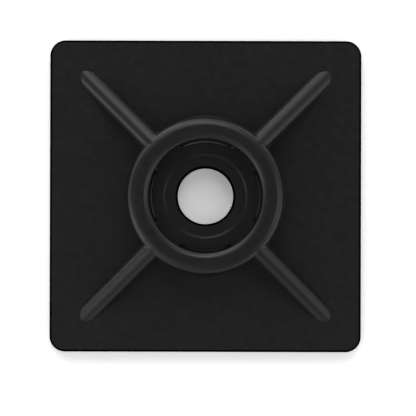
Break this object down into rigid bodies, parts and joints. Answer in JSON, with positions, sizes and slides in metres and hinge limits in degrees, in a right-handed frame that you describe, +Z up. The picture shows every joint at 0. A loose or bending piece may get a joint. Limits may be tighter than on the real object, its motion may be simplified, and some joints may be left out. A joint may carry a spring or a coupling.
{
  "type": "cable tie mount",
  "caption": "Square screw-down base with a round crown over a recessed screw hole; a cable tie threads through the crown from any side, and diagonal ribs brace it.",
  "frame": {"origin": "middle of the underside of the square base plate, on the axis of the screw hole", "axes": "+Z up, out of the crown along the screw hole; X and Y along the sides of the plate, which are also the two tie directions; the ribs lie on the diagonals"},
  "size_m": [0.028, 0.028, 0.0057],
  "materials": {
    "black_nylon": "satin black moulded nylon with a fine eroded grain"
  },
  "bodies": {
    "root": {"mount_body": "black_nylon"}
  },
  "joints": []
}
